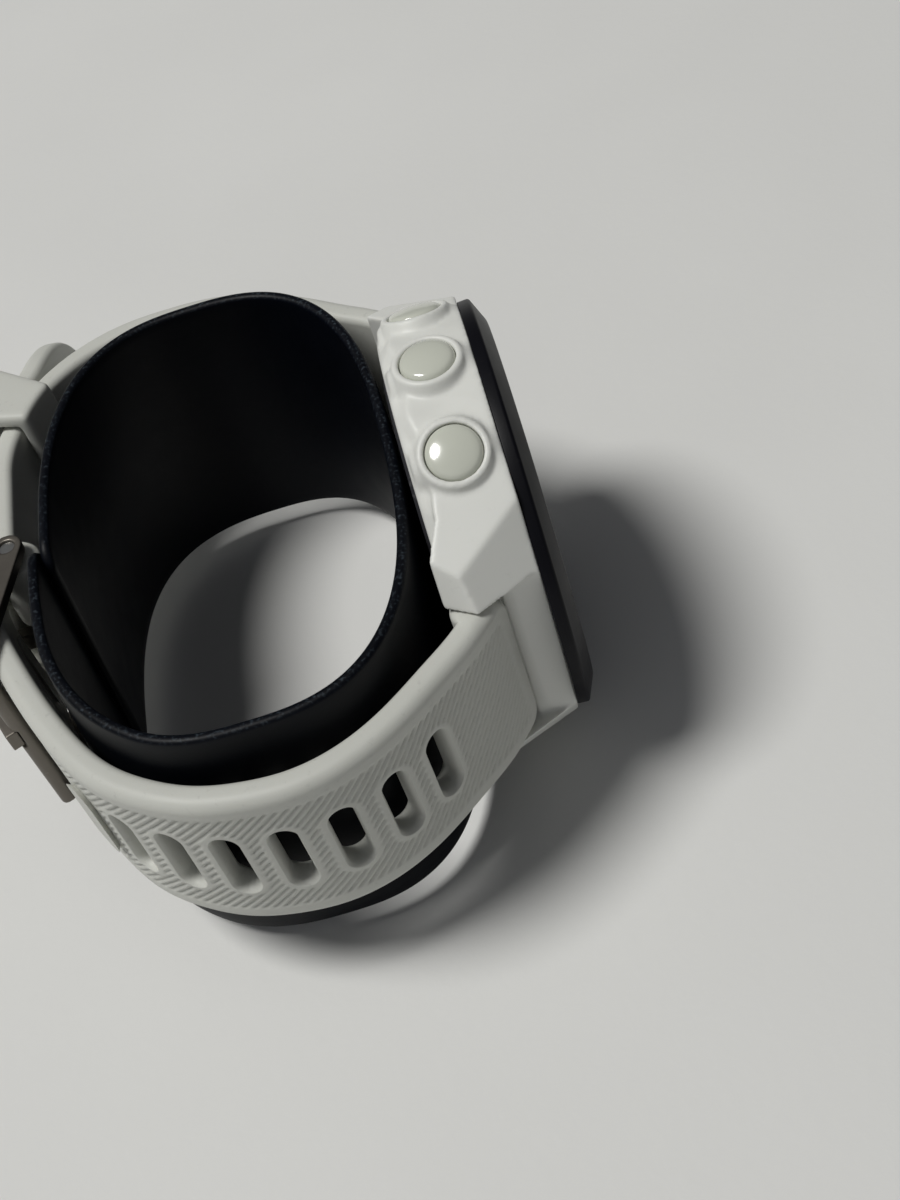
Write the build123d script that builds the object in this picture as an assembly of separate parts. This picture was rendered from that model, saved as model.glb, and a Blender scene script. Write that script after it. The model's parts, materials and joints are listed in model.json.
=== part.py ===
from build123d import *
import math
import os

os.makedirs("parts", exist_ok=True)

# GPS running watch with a closed sport band, lying on its 3 o'clock side.
# +X comes out of the glass, +Y points to 12 o'clock, +Z points to 9 o'clock and up.
# The origin is on the dial axis, in the plane of the case's back rim.

# Case, millimetres
CASE_R = 23.5
CASE_TOP = 9.7            # where the case ends and the bezel starts
CASE_FLAT = 20.7          # flat faces between the horns
BACK_CHAMFER = 1.5
CAVITY_R = 20.6           # room behind the buttons
CAVITY_FLAT = 17.6
CAVITY_STEP = 7.0         # the cavity narrows here to carry the display
UPPER_CAVITY_R = 19.3
FLOOR_BACK = 0.9          # the floor carries the back cover
FLOOR_FRONT = 1.9
FLOOR_OPENING_R = 16.9

# Bezel, glass and display
BEZEL_FRONT = 12.3
BEZEL_RIM_TOP = 11.1
BEZEL_FACE_R = 20.6
GLASS_R = 19.4
GLASS_BACK, GLASS_FRONT = 10.7, 12.15
LEDGE_X = 10.4
LEDGE_R = 18.2
DISPLAY_R = 17.9
DISPLAY_BACK, DISPLAY_FRONT = 9.35, 10.5

# Back cover
COVER_R = 18.5
COVER_BACK = -0.5
WINDOW_R = 8.5
WINDOW_DOME = 0.35        # how far the sensor window stands out of the cover
SCREW_CIRCLE_R = 15.9
BOSS_LOW, BOSS_HIGH = 1.4, 5.2
CONTACT_Y = -13.5
CONTACT_PITCH = 2.0

# Horns and strap hinges
LUG_WIDTH = 22.0
HORN_INNER = 11.2
HORN_TANGENT = 28         # degrees from the Z axis where the horn's side leaves the case circle
HORN_REACH = 15.0         # length of that tangent side before the end facets cut it
HORN_DEEP = 9.0           # the horn's block starts this far in from the case's side
HORN_CORNER = (1.93, -21.8, 15.03)        # where the side of the horn at -Y and +Z meets both end facets
HORN_END_NORMALS = [(0.365, -0.788, 0.496), (-0.513, -0.788, 0.342)]
HORN_PROFILE = [(CASE_TOP, -10), (CASE_TOP, -30), (0.4, -30), (0.4, -24.4),
                (-0.5, -22.2), (-0.5, -19.5), (1.2, -16), (1.2, -10)]
BAR_X, BAR_Y = 2.6, 22.0
NOSE_R = 2.85             # strap end round the spring bar
CHANNEL_R = 3.05          # concave channel in the case behind it

# Buttons
BUTTON_X = 4.95
BUTTON_PITCH = 27.75      # degrees round the case
CAP_R = 3.2
CAP_TOP = 24.9
CAP_THICKNESS = 1.4
COLLAR_R = 4.1
COLLAR_TOP = 24.4
SKIRT_LOW, SKIRT_R = 21.5, 5.5    # the collar's cone starts inside the wall
POCKET_R = 3.35
POCKET_FLOOR = 22.6
STEM_R = 1.0
STEM_END = 19.9
SEAL_R, SEAL_WIRE = 1.3, 0.26     # rubber ring round the stem
SEAL_LOW, SEAL_HIGH = 21.4, 22.1  # its groove in the wall
SEAL_GROOVE_R = 1.6
CLIP_LOW, CLIP_HIGH = 20.15, 20.45        # the stem's groove for its clip

# Band
STRAP_T = 3.0
STRAP_Z = LUG_WIDTH / 2 - 0.1
STRAP_EDGE = 0.8                  # rounding of the long edges
FIRST_SLOT = 12.2                 # path distance from the spring bar to the first slot
SLOT_PITCH = 5.75
SLOT_LENGTH = 9.6
SLOT_WIDTH = 2.8
SLOT_COUNT = 16
TONGUE_SLOT = 12          # the slot that the buckle's tongue goes through, counted from 0
LOOP_X, LOOP_Y = -26.8, 18.4      # centre of the round corner that the keeper slides on
SHORT_R = 20.3                    # middle of the short strap on that corner
TAIL_R = 23.6                     # middle of the long strap's tail, outside it
PIN_X, PIN_Y = -45.6, 4.2
BARREL_R = 2.9
TONGUE_GAP = 2.3                  # half the slot between the two barrels
TONGUE_GAP_END = 13.2             # the slot leaves room for the tongue's hook as it swings

# Spring bars
BAR_TUBE_R, BAR_TIP_R = 0.9, 0.45
BAR_HALF = 10.5
BAR_REACH = 12.7                  # how far the tips go into the horns

# Buckle
PIN_R = 0.9
FRAME_INNER, FRAME_OUTER = 11.5, 12.9
EYE_R = 1.75                      # outside of the frame's eyes on the pin
FRAME_BAR_X, FRAME_BAR_Y = -49.9, -10.3
FRAME_BAR_TURN = 22               # degrees, with the strap's slope there
TONGUE_HALF, TONGUE_T = 1.25, 1.4
KEEPER_SPAN = (138.5, 159)        # degrees round the loop's corner

# Removable display cuff inside the band
CUFF_X = -21.0
CUFF_A, CUFF_B = 19.3, 32.1       # half widths of its middle line
CUFF_POWER = 2.7                  # superellipse exponent
CUFF_T = 1.25
CUFF_LOW, CUFF_HIGH = -20.3, 15.5
CUFF_INNER_END, CUFF_OUTER_END = 2.0, 0.9     # how far each end reaches past the middle

RUNNING = 0.05            # radial clearance of turning and sliding pins
GAP = 0.1                 # clearance round parts that only sit in place


def save(solid, name):
    export_step(Compound(children=list(solid.solids())), f"parts/{name}.step")


def slab(x, y, z):
    """Box from (low, high) pairs."""
    size = [high - low for low, high in (x, y, z)]
    middle = [(high + low) / 2 for low, high in (x, y, z)]
    return Pos(*middle) * Box(*size)


def disc(x_back, x_front, radius, y=0, z=0):
    """Cylinder along X."""
    return Pos((x_back + x_front) / 2, y, z) * Rot(0, 90, 0) * Cylinder(radius, x_front - x_back)


def ring(x_back, x_front, outer, inner):
    return disc(x_back, x_front, outer) - disc(x_back, x_front, inner)


def post(x, y, z_low, z_high, radius):
    """Cylinder along Z."""
    return Pos(x, y, (z_low + z_high) / 2) * Cylinder(radius, z_high - z_low)


def turned(points):
    """Closed outline in X and radius, turned about the X axis."""
    return revolve(make_face(Polyline(*points, close=True)), axis=Axis.X)


def prism(outline, z_low, z_high):
    """Face in the XY plane, pulled up from one Z to another."""
    return Pos(0, 0, z_low) * extrude(outline, amount=z_high - z_low)


def outline_of(points):
    return make_face(Polyline(*points, close=True))


def radial(angle):
    """Placement on the case's side: local Z points outward, angle is measured from +Z to -Y."""
    return Pos(BUTTON_X, 0, 0) * Rot(angle, 0, 0)


def radial_post(low, high, radius):
    return Pos(0, 0, (low + high) / 2) * Cylinder(radius, high - low)


BUTTONS = {
    "button_upper_left": -BUTTON_PITCH,
    "button_middle_left": 0,
    "button_lower_left": BUTTON_PITCH,
    "button_upper_right": 180 + BUTTON_PITCH,
    "button_lower_right": 180 - BUTTON_PITCH,
}
SIDES = {"lower": -1, "upper": 1}
SCREW_SPOTS = [
    (SCREW_CIRCLE_R * math.cos(math.radians(a)), SCREW_CIRCLE_R * math.sin(math.radians(a)))
    for a in (45, 135, 225, 315)
]


# ---- Case -------------------------------------------------------------------------------

def horn():
    """The horn at -Y and +Z: a block that leaves the case circle along a tangent."""
    turn = math.radians(HORN_TANGENT)
    start = (-CASE_R * math.sin(turn), CASE_R * math.cos(turn))
    tip = (start[0] - HORN_REACH * math.cos(turn), start[1] - HORN_REACH * math.sin(turn))
    side = [start, tip, (tip[0], HORN_INNER), (-HORN_DEEP, HORN_INNER), (-HORN_DEEP, start[1])]
    face = make_face(Plane.YZ * Polyline(*side, close=True))
    block = Pos(-2, 0, 0) * extrude(face, amount=CASE_TOP + 2, dir=(1, 0, 0))
    for normal in HORN_END_NORMALS:
        block -= Plane(origin=HORN_CORNER, z_dir=normal) * Pos(0, 0, 20) * Box(80, 80, 40)
    return block & prism(outline_of(HORN_PROFILE), 0, 30)


def case_body():
    body = turned([(0, 0), (0, CASE_R - BACK_CHAMFER), (BACK_CHAMFER, CASE_R),
                   (CASE_TOP, CASE_R), (CASE_TOP, 0)])
    body &= slab((-1, CASE_TOP + 1), (-CASE_FLAT, CASE_FLAT), (-CASE_R, CASE_R))
    corner = horn()
    upper = mirror(corner, about=Plane.XZ)
    body += corner + upper + mirror(corner, about=Plane.XY) + mirror(upper, about=Plane.XY)
    side_wall = slab((0.3, CASE_TOP - 0.3), (-CASE_R, CASE_R), (-26, 26))
    for angle in BUTTONS.values():
        skirt = Pos(0, 0, (SKIRT_LOW + COLLAR_TOP) / 2) * Cone(SKIRT_R, COLLAR_R, COLLAR_TOP - SKIRT_LOW)
        body += radial(angle) * skirt & side_wall
    inside = disc(FLOOR_FRONT, CAVITY_STEP, CAVITY_R)
    inside &= slab((0, CASE_TOP), (-CAVITY_FLAT, CAVITY_FLAT), (-CASE_R, CASE_R))
    body -= inside
    body -= disc(CAVITY_STEP - 0.01, CASE_TOP + 1, UPPER_CAVITY_R)
    body -= disc(FLOOR_BACK - 0.01, FLOOR_FRONT + 0.01, FLOOR_OPENING_R)
    body -= disc(-1, FLOOR_BACK, COVER_R + GAP)
    body -= ring(FLOOR_BACK - 0.01, FLOOR_BACK + 0.5, COVER_R - 0.2, COVER_R - 1.3)
    for y, z in SCREW_SPOTS:
        boss = disc(BOSS_LOW, BOSS_HIGH, 2.0, y, z)
        turn = math.degrees(math.atan2(z, y))
        web = slab((BOSS_LOW, BOSS_HIGH), (SCREW_CIRCLE_R, CAVITY_R + 0.5), (-1, 1))
        body += boss + Rot(turn, 0, 0) * web
        body -= disc(FLOOR_BACK - 0.01, 4.6, 0.7, y, z)
    for angle in BUTTONS.values():
        body -= radial(angle) * radial_post(POCKET_FLOOR, 27, POCKET_R)
        body -= radial(angle) * radial_post(19, POCKET_FLOOR + 0.01, STEM_R + RUNNING)
        body -= radial(angle) * radial_post(SEAL_LOW, SEAL_HIGH, SEAL_GROOVE_R)
    for sign in SIDES.values():
        body -= post(BAR_X, sign * BAR_Y, -HORN_INNER, HORN_INNER, CHANNEL_R)
        body -= post(BAR_X, sign * BAR_Y, -BAR_REACH - 0.5, BAR_REACH + 0.5, BAR_TIP_R + RUNNING)
    return body


def button_seals():
    seal = Pos(0, 0, (SEAL_LOW + SEAL_HIGH) / 2) * Torus(SEAL_R, SEAL_WIRE)
    return Compound(children=[radial(a) * seal for a in BUTTONS.values()])


def button(angle):
    """Domed cap on a stem, with the groove for its clip."""
    cap = radial_post(CAP_TOP - CAP_THICKNESS, CAP_TOP, CAP_R)
    cap = chamfer(cap.edges().sort_by(Axis.Z)[-1], 0.35)
    stem = radial_post(STEM_END, CAP_TOP - CAP_THICKNESS, STEM_R)
    groove = radial_post(CLIP_LOW, CLIP_HIGH, STEM_R + 0.5) - radial_post(CLIP_LOW, CLIP_HIGH, 0.7)
    return radial(angle) * (cap + stem - groove)


def button_clip(angle):
    """Open ring that snaps in the stem's groove."""
    clip = radial_post(CLIP_LOW + 0.02, CLIP_HIGH - 0.02, 1.75) - radial_post(CLIP_LOW, CLIP_HIGH, 0.72)
    clip -= Pos(1.2, 0, CLIP_LOW) * Box(2.4, 1.3, 1)
    return radial(angle) * clip


def coil(radius, wire, length, turns):
    """Round-wire compression spring along Z, starting at Z 0."""
    path = Helix((length - 2 * wire) / turns, length - 2 * wire, radius)
    start = Plane(origin=path @ 0, z_dir=path % 0)
    return Pos(0, 0, wire) * sweep(start * Circle(wire), path=path)


def button_springs():
    spring = coil(1.75, 0.12, CAP_TOP - CAP_THICKNESS - POCKET_FLOOR - 0.04, 2.5)
    rest = Pos(0, 0, POCKET_FLOOR + 0.02)
    return Compound(children=[radial(a) * rest * spring for a in BUTTONS.values()])


def button_switches():
    """Tact switches that stand just inside the stems."""
    switch = Pos(0, 0, 18.5) * Box(2.6, 3.4, 0.7) + radial_post(18.8, 19.15, 0.8)
    return Compound(children=[radial(a) * switch for a in BUTTONS.values()])


# ---- Front ------------------------------------------------------------------------------

def bezel():
    body = turned([(CASE_TOP, LEDGE_R), (CASE_TOP, CASE_R), (BEZEL_RIM_TOP, CASE_R),
                   (BEZEL_FRONT, BEZEL_FACE_R), (BEZEL_FRONT, GLASS_R + GAP),
                   (LEDGE_X, GLASS_R + GAP), (LEDGE_X, LEDGE_R)])
    return body + ring(CASE_TOP - 0.4, CASE_TOP, UPPER_CAVITY_R - GAP, LEDGE_R + 0.5)


def lens_glass():
    body = disc(GLASS_BACK, GLASS_FRONT, GLASS_R)
    return chamfer(body.edges().sort_by(Axis.X)[-1], 0.25)


def lens_gasket():
    return ring(LEDGE_X, GLASS_BACK, GLASS_R, LEDGE_R + 0.2)


def display_module():
    return disc(DISPLAY_BACK, DISPLAY_FRONT, DISPLAY_R)


def display_flex():
    """Ribbon from the display down to the main board."""
    ribbon = slab((6.5, DISPLAY_BACK - 0.02), (-16.6, -16.4), (-4, 4))
    return ribbon + slab((6.5, 6.7), (-16.4, -14.4), (-4, 4))


def mid_frame():
    """Carrier that holds the display above the board."""
    frame = ring(7.1, 9.2, 18.2, 14.6)
    frame += slab((7.1, 7.9), (-15, 15), (-2, 2)) + slab((7.1, 7.9), (-2, 2), (-15, 15))
    return frame - slab((7, 9.3), (-19, -14.2), (-4.6, 4.6))


def gps_antenna():
    """Open metal band round the carrier."""
    band = ring(7.2, 9.1, 19.1, 18.5)
    return band - slab((7, 9.3), (-20, -15), (-6, 6))


def main_board():
    board = disc(5.6, 6.4, 17.3) - slab((5, 7), (-18, -16.9), (-18, 18))
    for y, z in SCREW_SPOTS:
        board -= disc(5, 7, 1.2, y, z)
    return board


def board_chips():
    """Shield can, processor, memory and connector on the board."""
    chips = [slab((6.4, 6.95), (y - h / 2, y + h / 2), (z - w / 2, z + w / 2))
             for y, z, h, w in ((7, 0, 9, 12), (-5, 6, 7, 7), (-5, -5, 6, 8), (-13.35, 0, 1.5, 9))]
    return Compound(children=chips)


def battery():
    cell = slab((2.0, 5.3), (-5, 9), (-13, 13))
    return fillet(cell.edges().filter_by(Axis.X), 1.2)


def vibration_motor():
    return disc(2.2, 5.0, 3.9, 13.2, 0)


# ---- Back -------------------------------------------------------------------------------

def back_cover():
    cover = disc(COVER_BACK, FLOOR_BACK - 0.02, COVER_R)
    cover = chamfer(cover.edges().sort_by(Axis.X)[0], 0.4)
    cover -= disc(-1, 2, WINDOW_R + GAP)
    cover -= slab((-1, 2), (CONTACT_Y - 1.6, CONTACT_Y + 1.6), (-4.3, 4.3))
    for y, z in SCREW_SPOTS:
        cover -= disc(-1, 2, 0.85, y, z)
        cover -= disc(-1, 0.1, 1.5, y, z)
    return cover


def back_screws():
    screws = []
    for y, z in SCREW_SPOTS:
        screw = disc(-0.45, 0.08, 1.35, y, z) + disc(0.08, 4.4, 0.66, y, z)
        socket = extrude(Plane((-0.5, y, z), z_dir=(1, 0, 0)) * RegularPolygon(0.6, 6), amount=0.35)
        screws.append(screw - socket)
    return Compound(children=screws)


def back_gasket():
    return ring(FLOOR_BACK, FLOOR_BACK + 0.46, COVER_R - 0.25, COVER_R - 1.25)


def sensor_window():
    """Lens over the pulse sensor, with a shallow dome."""
    plate = disc(COVER_BACK, 0.5, WINDOW_R)
    dome_r = (WINDOW_R ** 2 + WINDOW_DOME ** 2) / (2 * WINDOW_DOME)
    ball = Pos(COVER_BACK - WINDOW_DOME + dome_r, 0, 0) * Sphere(dome_r)
    return plate + (ball & disc(-2, 0, WINDOW_R))


def optical_sensor_board():
    board = disc(0.95, 1.5, 7.6)
    for y, z in ((0, 0), (4.2, 0), (-4.2, 0), (0, 4.2), (0, -4.2)):
        board += slab((0.55, 0.95), (y - 0.8, y + 0.8), (z - 0.8, z + 0.8))
    return board


def contact_block():
    block = slab((-0.3, 1.8), (CONTACT_Y - 1.5, CONTACT_Y + 1.5), (-4.2, 4.2))
    for z in contact_spots():
        block -= disc(-1, 2, 0.45, CONTACT_Y, z)
    return block


def contact_spots():
    return [(k - 1.5) * CONTACT_PITCH for k in range(4)]


def charge_contacts():
    return Compound(children=[disc(-0.15, 2.3, 0.43, CONTACT_Y, z) for z in contact_spots()])


# ---- Band -------------------------------------------------------------------------------

def place_on(path, distance):
    """Point and direction at a distance along a path."""
    spot = path.position_at(distance, position_mode=PositionMode.LENGTH)
    return spot, path.tangent_at(distance, position_mode=PositionMode.LENGTH)


def band_face(path, samples=60):
    """Face of the strap's thickness along a path in the XY plane."""
    sides = []
    for offset in (-STRAP_T / 2, STRAP_T / 2):
        points = []
        for i in range(samples + 1):
            spot, along = place_on(path, path.length * i / samples)
            points.append((spot.X - along.Y * offset, spot.Y + along.X * offset))
        sides.append(points)
    right, left = sides
    return make_face([Spline(*right), Line(right[-1], left[-1]),
                      Spline(*left), Line(left[0], right[0])])


def strap_nose(sign):
    """Round end on the spring bar, cut back to the strap's outer surface."""
    disc_face = Pos(BAR_X, sign * BAR_Y) * Circle(NOSE_R)
    outer = Pos(BAR_X, sign * BAR_Y) * Rot(0, 0, sign * 36) * Pos(5 + 2.0, 0) * Rectangle(10, 10)
    return disc_face - outer


def long_path():
    """Middle line of the long strap, from the spring bar round to its tip."""
    lead = Spline((3.0, -22.3), (0.7, -25.0), (-3.1, -28.3), (-9.1, -32.9), (-14.3, -35.4),
                  (-18.9, -36.3), (-23.8, -36.0), (-28.3, -34.9), (-33.1, -32.4),
                  (-37.4, -28.8), (-40.9, -23.8), (-43.8, -18.0), (-46.8, -10.5), (-49.1, -3.5),
                  (-50.2, 2.5), (LOOP_X - TAIL_R, 8.5))
    rise = Line(lead @ 1, (LOOP_X - TAIL_R, LOOP_Y))
    corner = CenterArc((LOOP_X, LOOP_Y), TAIL_R, 180, -42.5)
    flare = Spline(corner @ 1, (-42.2, 38.0), (-40.4, 47.0), tangents=[corner % 1, (0.1, 0.99)])
    return Wire([lead, rise, corner, flare])


def short_path():
    """Middle line of the short strap, from the spring bar round to the buckle pin."""
    lead = Spline((3.0, 22.3), (1.0, 25.2), (-3.2, 28.8), (-8.7, 33.2), (-14.5, 36.6),
                  (-20.4, 38.4), (LOOP_X, LOOP_Y + SHORT_R), tangents=[(-0.6, 0.8), (-1, 0)])
    corner = CenterArc((LOOP_X, LOOP_Y), SHORT_R, 90, 90)
    drop = Line((LOOP_X - SHORT_R, LOOP_Y), (LOOP_X - SHORT_R, PIN_Y))
    return Wire([lead, corner, drop])


def slot_place(k):
    return place_on(long_path(), FIRST_SLOT + k * SLOT_PITCH)


def bar_room(sign):
    """Bore for the spring bar, with the pocket that the release knob slides in."""
    room = post(BAR_X, sign * BAR_Y, -STRAP_Z - 1, STRAP_Z + 1, BAR_TUBE_R + RUNNING)
    return room + slab((BAR_X - 4, BAR_X), (sign * BAR_Y - 0.8, sign * BAR_Y + 0.8), (4.8, 8.5))


def round_edges(strap):
    """Round the strap's long edges at both sides."""
    for z in (-STRAP_Z, STRAP_Z):
        rim = [e for e in strap.edges().filter_by_position(Axis.Z, z, z) if e.length > 30]
        strap = fillet(rim, STRAP_EDGE)
    return strap


def strap_long():
    """Slotted strap at 6 o'clock, with the tail that runs through the keeper."""
    path = long_path()
    strap = round_edges(prism(band_face(path), -STRAP_Z, STRAP_Z))
    strap += prism(strap_nose(-1), -STRAP_Z, STRAP_Z)
    for k in range(SLOT_COUNT):
        spot, along = slot_place(k)
        across = Plane(origin=spot, x_dir=(0, 0, 1), z_dir=(along.Y, -along.X, 0))
        strap -= extrude(across * SlotOverall(SLOT_LENGTH, SLOT_WIDTH), amount=STRAP_T, both=True)
    spot, along = place_on(path, path.length - STRAP_Z)
    across = Plane(origin=spot, x_dir=along, z_dir=(along.Y, -along.X, 0))
    tip = across * (Pos(10, 0) * Rectangle(20, 2 * STRAP_Z + 4) - Circle(STRAP_Z))
    strap -= extrude(tip, amount=2 * STRAP_T, both=True)
    return strap - bar_room(-1)


def strap_short():
    """Strap at 12 o'clock that ends in two barrels on the buckle pin."""
    barrel = Pos(PIN_X, PIN_Y) * Circle(BARREL_R)
    strap = round_edges(prism(band_face(short_path()) + barrel, -STRAP_Z, STRAP_Z))
    strap += prism(strap_nose(1), -STRAP_Z, STRAP_Z)
    strap -= slab((-60, -38), (PIN_Y - 5, TONGUE_GAP_END), (-TONGUE_GAP, TONGUE_GAP))
    strap -= post(PIN_X, PIN_Y, -STRAP_Z - 1, STRAP_Z + 1, PIN_R + RUNNING)
    return strap - bar_room(1)


def spring_bar(sign):
    """Tube with one fixed tip; the other tip is the release pin's."""
    tube = post(BAR_X, sign * BAR_Y, -BAR_HALF, BAR_HALF, BAR_TUBE_R)
    tube -= post(BAR_X, sign * BAR_Y, 0, BAR_HALF - 0.6, 0.65)
    tube -= post(BAR_X, sign * BAR_Y, BAR_HALF - 0.7, BAR_HALF + 1, BAR_TIP_R + RUNNING)
    tube -= slab((BAR_X - 2, BAR_X), (sign * BAR_Y - 0.5, sign * BAR_Y + 0.5), (5.0, 8.1))
    return tube + post(BAR_X, sign * BAR_Y, -BAR_REACH, -BAR_HALF, BAR_TIP_R)


def release_pin(sign):
    """Sliding tip with the knob that pulls it out of the horn."""
    pin = post(BAR_X, sign * BAR_Y, 6.4, BAR_REACH, BAR_TIP_R)
    pin += post(BAR_X, sign * BAR_Y, 6.4, 8.2, 0.6)
    knob = Pos(BAR_X - 1.3, sign * BAR_Y, 7.5) * Rot(0, 90, 0) * Cylinder(0.4, 2.6)
    return pin + knob


def bar_spring(sign):
    return Pos(BAR_X, sign * BAR_Y, 0.05) * coil(0.45, 0.1, 6.3, 9)


# ---- Buckle -----------------------------------------------------------------------------

def buckle_pin():
    return post(PIN_X, PIN_Y, -FRAME_OUTER + 0.3, FRAME_OUTER - 0.3, PIN_R)


def buckle_frame():
    """Two arms on the pin and the bar across them, outside the strap."""
    eye = Pos(PIN_X, PIN_Y) * Circle(EYE_R)
    foot = Pos(FRAME_BAR_X, FRAME_BAR_Y) * Rot(0, 0, FRAME_BAR_TURN) * RectangleRounded(2.0, 4.0, 0.8)
    arm = make_hull(eye.edges() + foot.edges())
    frame = prism(arm, FRAME_INNER, FRAME_OUTER) + prism(arm, -FRAME_OUTER, -FRAME_INNER)
    frame += prism(foot, -FRAME_OUTER, FRAME_OUTER)
    seat = Pos(FRAME_BAR_X, FRAME_BAR_Y) * Rot(0, 0, FRAME_BAR_TURN) * Pos(-1.2, 0) * Rectangle(1.6, 5)
    frame -= prism(seat, -TONGUE_HALF - 0.2, TONGUE_HALF + 0.2)
    frame -= post(PIN_X, PIN_Y, -FRAME_OUTER - 1, FRAME_OUTER + 1, PIN_R + RUNNING)
    return frame


def buckle_tongue():
    """Hook that leaves the pin through a slot and lies along the strap to the bar."""
    slot_y = slot_place(TONGUE_SLOT)[0].Y
    out_x = LOOP_X - TAIL_R - STRAP_T / 2 - 0.35 - TONGUE_T / 2
    bar = Pos(FRAME_BAR_X, FRAME_BAR_Y) * Rot(0, 0, FRAME_BAR_TURN)
    bend, tip = [(bar * Pos(-0.5 - TONGUE_T / 2, reach)).position for reach in (3.6, -1.6)]
    path = FilletPolyline((PIN_X, PIN_Y), (PIN_X - 1.5, slot_y), (out_x, slot_y),
                          (bend.X, bend.Y), (tip.X, tip.Y), radius=0.8)
    blade = trace(path, TONGUE_T)
    tongue = prism(blade + Pos(PIN_X, PIN_Y) * Circle(2.2), -TONGUE_HALF, TONGUE_HALF)
    return tongue - post(PIN_X, PIN_Y, -5, 5, PIN_R + RUNNING)


def strap_keeper():
    """Closed loop round the short strap and the tail."""
    inner, outer = SHORT_R - STRAP_T / 2, TAIL_R + STRAP_T / 2

    def sector(low, high, start, stop):
        wedge = outline_of([(0, 0)] + [(60 * math.cos(math.radians(a)), 60 * math.sin(math.radians(a)))
                                       for a in (start, (start + stop) / 2, stop)])
        return Pos(LOOP_X, LOOP_Y) * ((Circle(high) - Circle(low)) & wedge)

    loop = prism(sector(inner - 1.8, outer + 2.2, *KEEPER_SPAN), -13.1, 13.1)
    loop = fillet(loop.edges(), 0.7)
    return loop - prism(sector(inner - 0.25, outer + 0.55, 100, 170), -11.35, 11.35)


def display_cuff():
    """Springy open sleeve inside the band; its outer end overlaps the inner one."""
    reach = math.radians(60)

    def angle_at(y):
        return math.asin((y / CUFF_B) ** (CUFF_POWER / 2))

    first = math.pi + angle_at(CUFF_INNER_END)
    last = -math.pi - angle_at(CUFF_OUTER_END)
    sides = ([], [])
    samples = 72
    for i in range(samples + 1):
        t = first + (last - first) * i / samples
        c, s = math.cos(t), math.sin(t)
        dx = math.copysign(abs(c) ** (2 / CUFF_POWER), c)
        dy = math.copysign(abs(s) ** (2 / CUFF_POWER), s)
        nx = math.copysign(abs(dx) ** (CUFF_POWER - 1), dx) / CUFF_A
        ny = math.copysign(abs(dy) ** (CUFF_POWER - 1), dy) / CUFF_B
        size = math.hypot(nx, ny)
        late = min(1, max(0, (last + reach - t) / (reach * 0.75)))
        lift = (CUFF_T + 0.2) * late * late * (3 - 2 * late)
        for side, points in zip((-0.5, 0.5), sides):
            off = lift + side * CUFF_T
            points.append((CUFF_X + CUFF_A * dx + off * nx / size, CUFF_B * dy + off * ny / size))
    inner, outer = sides
    sheet = make_face([Spline(*inner), Line(inner[-1], outer[-1]),
                       Spline(*outer), Line(outer[0], inner[0])])
    return prism(sheet, CUFF_LOW, CUFF_HIGH)


for name, angle in BUTTONS.items():
    save(button(angle), name)
    save(button_clip(angle), f"{name}_clip")
for name, sign in SIDES.items():
    save(spring_bar(sign), f"{name}_spring_bar")
    save(release_pin(sign), f"{name}_release_pin")
    save(bar_spring(sign), f"{name}_bar_spring")
for build in (case_body, button_seals, button_springs, button_switches, bezel, lens_glass,
              lens_gasket, display_module, display_flex, mid_frame, gps_antenna, main_board,
              board_chips, battery, vibration_motor, back_cover, back_screws, back_gasket, sensor_window,
              optical_sensor_board, contact_block, charge_contacts, strap_long, strap_short,
              buckle_pin, buckle_frame, buckle_tongue, strap_keeper, display_cuff):
    save(build(), build.__name__)
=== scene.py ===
import json
import math

import bmesh
import bpy
import numpy as np
from mathutils import Matrix, Vector

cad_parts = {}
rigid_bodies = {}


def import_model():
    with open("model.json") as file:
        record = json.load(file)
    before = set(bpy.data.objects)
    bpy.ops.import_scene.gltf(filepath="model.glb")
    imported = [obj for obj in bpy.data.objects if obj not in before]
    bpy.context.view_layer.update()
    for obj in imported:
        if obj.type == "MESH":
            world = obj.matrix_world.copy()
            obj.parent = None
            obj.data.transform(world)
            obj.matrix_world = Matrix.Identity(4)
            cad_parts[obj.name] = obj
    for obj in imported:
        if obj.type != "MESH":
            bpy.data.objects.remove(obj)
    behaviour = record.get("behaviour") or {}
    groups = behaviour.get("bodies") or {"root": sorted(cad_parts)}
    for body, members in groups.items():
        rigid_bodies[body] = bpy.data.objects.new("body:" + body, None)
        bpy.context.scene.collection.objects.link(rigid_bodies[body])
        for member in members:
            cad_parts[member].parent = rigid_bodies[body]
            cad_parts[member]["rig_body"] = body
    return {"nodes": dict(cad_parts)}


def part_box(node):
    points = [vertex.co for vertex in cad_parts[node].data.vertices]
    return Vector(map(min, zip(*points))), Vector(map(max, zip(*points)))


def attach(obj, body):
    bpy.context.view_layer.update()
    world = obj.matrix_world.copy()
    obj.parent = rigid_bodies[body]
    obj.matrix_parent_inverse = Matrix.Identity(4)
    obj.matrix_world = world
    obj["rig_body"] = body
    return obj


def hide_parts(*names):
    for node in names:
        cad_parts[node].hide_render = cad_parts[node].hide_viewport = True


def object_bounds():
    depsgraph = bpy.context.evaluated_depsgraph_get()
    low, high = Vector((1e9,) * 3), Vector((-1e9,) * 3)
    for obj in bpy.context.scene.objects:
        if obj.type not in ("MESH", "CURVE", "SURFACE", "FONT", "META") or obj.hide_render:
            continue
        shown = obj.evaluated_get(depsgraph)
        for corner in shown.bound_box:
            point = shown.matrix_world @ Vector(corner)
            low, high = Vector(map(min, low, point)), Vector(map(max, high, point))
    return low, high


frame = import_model()
cad_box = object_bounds()
nodes = frame["nodes"]
MM = 0.001

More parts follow.
